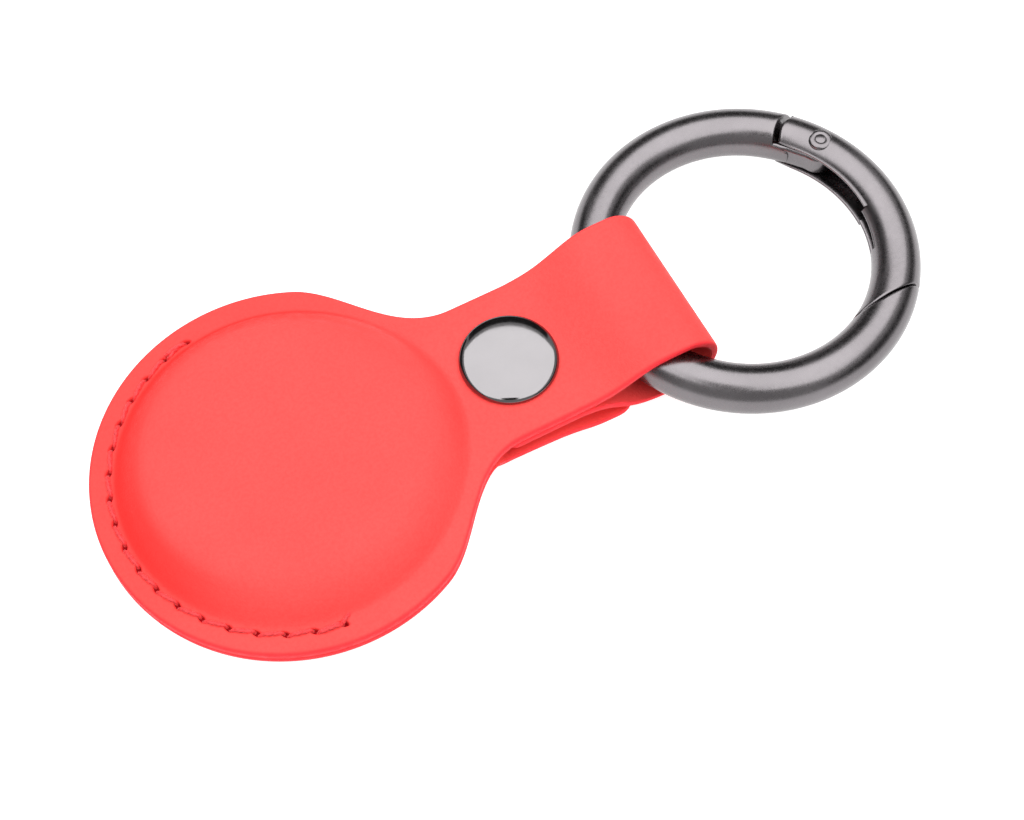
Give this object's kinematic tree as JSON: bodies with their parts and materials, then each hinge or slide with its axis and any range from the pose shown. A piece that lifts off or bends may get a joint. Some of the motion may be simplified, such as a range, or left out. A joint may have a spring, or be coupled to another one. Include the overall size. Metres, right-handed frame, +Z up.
{
  "type": "bluetooth tracker tag",
  "caption": "Round wireless finder tag in a sewn leather pocket with a snapped strap folded over a spring-gate ring.",
  "frame": {"origin": "on the pocket's axis, in the plane that the flat back of the pocket rests on", "axes": "+X along the strap from the pocket to the ring, +Z up out of the front of the pocket, +Y across the strap"},
  "size_m": [0.0958, 0.042, 0.0108],
  "materials": {
    "leather": "smooth fine-grained dyed leather, satin, slightly deeper pinkish red on the cut edges",
    "thread": "twisted polyester sewing thread",
    "nickel": "polished nickel plate",
    "spring_steel": "bright spring wire",
    "gunmetal": "satin gunmetal plate on a zinc casting",
    "white_plastic": "polished white",
    "frame_plastic": "moulded, matt",
    "dark_plastic": "moulded, matt",
    "polished_steel": "polished stainless steel",
    "cell_steel": "nickel-plated steel can",
    "seal_rubber": "soft black",
    "gold_plate": "gold-plated sprung strip",
    "board": "glass-epoxy with green solder mask",
    "copper": "bare and enamelled copper",
    "magnet_nickel": "nickel plate",
    "chip_black": "moulded epoxy"
  },
  "bodies": {
    "pocket": {"front_panel": "leather", "back_panel": "leather", "front_thread": "thread", "back_thread": "thread", "snap_cap": "nickel", "snap_post": "nickel", "snap_socket": "nickel", "snap_spring": "spring_steel", "tag_shell": "white_plastic", "inner_frame": "frame_plastic", "power_coil": "dark_plastic", "coin_cell": "cell_steel", "side_contact_1": "gold_plate", "side_contact_2": "gold_plate", "centre_contact": "gold_plate", "circuit_board": "board", "antenna_ring": "copper", "voice_coil": "copper", "speaker_yoke": "magnet_nickel", "speaker_magnet": "magnet_nickel", "speaker_plate": "magnet_nickel", "crystal": "magnet_nickel", "radio_chip": "chip_black", "ranging_chip": "chip_black", "memory_chip": "chip_black", "motion_sensor": "chip_black"},
    "flap": {"back_flap": "leather", "snap_stud": "nickel", "stud_rivet": "nickel"},
    "ring": {"ring_body": "gunmetal", "gate_pin": "gunmetal"},
    "gate": {"ring_gate": "gunmetal", "gate_spring": "spring_steel"},
    "cover": {"battery_cover": "polished_steel", "cover_liner": "dark_plastic", "cover_seal": "seal_rubber"}
  },
  "joints": [
    {"name": "ring_tilt", "type": "hinge", "parent": "pocket", "child": "ring", "pos_m": [0.0399, 0, 0.0054], "axis": [0, 1, 0], "range_deg": [-30, 30]},
    {"name": "gate_swing", "type": "hinge", "parent": "ring", "child": "gate", "pos_m": [0.06993, 0.00792, 0.0054], "axis": [0, 0, -1], "range_deg": [0, 38], "stiffness_Nm_per_rad": 0.03, "springref_deg": -68.75},
    {"name": "flap_open", "type": "hinge", "parent": "pocket", "child": "flap", "pos_m": [0.003, 0, 0], "axis": [0, 1, 0], "range_deg": [0, 40], "stiffness_Nm_per_rad": 0.02, "springref_deg": -14.32},
    {"name": "cover_twist", "type": "hinge", "parent": "pocket", "child": "cover", "pos_m": [0, 0, 0.0014], "axis": [0, 0, -1], "range_deg": [0, 20]}
  ]
}
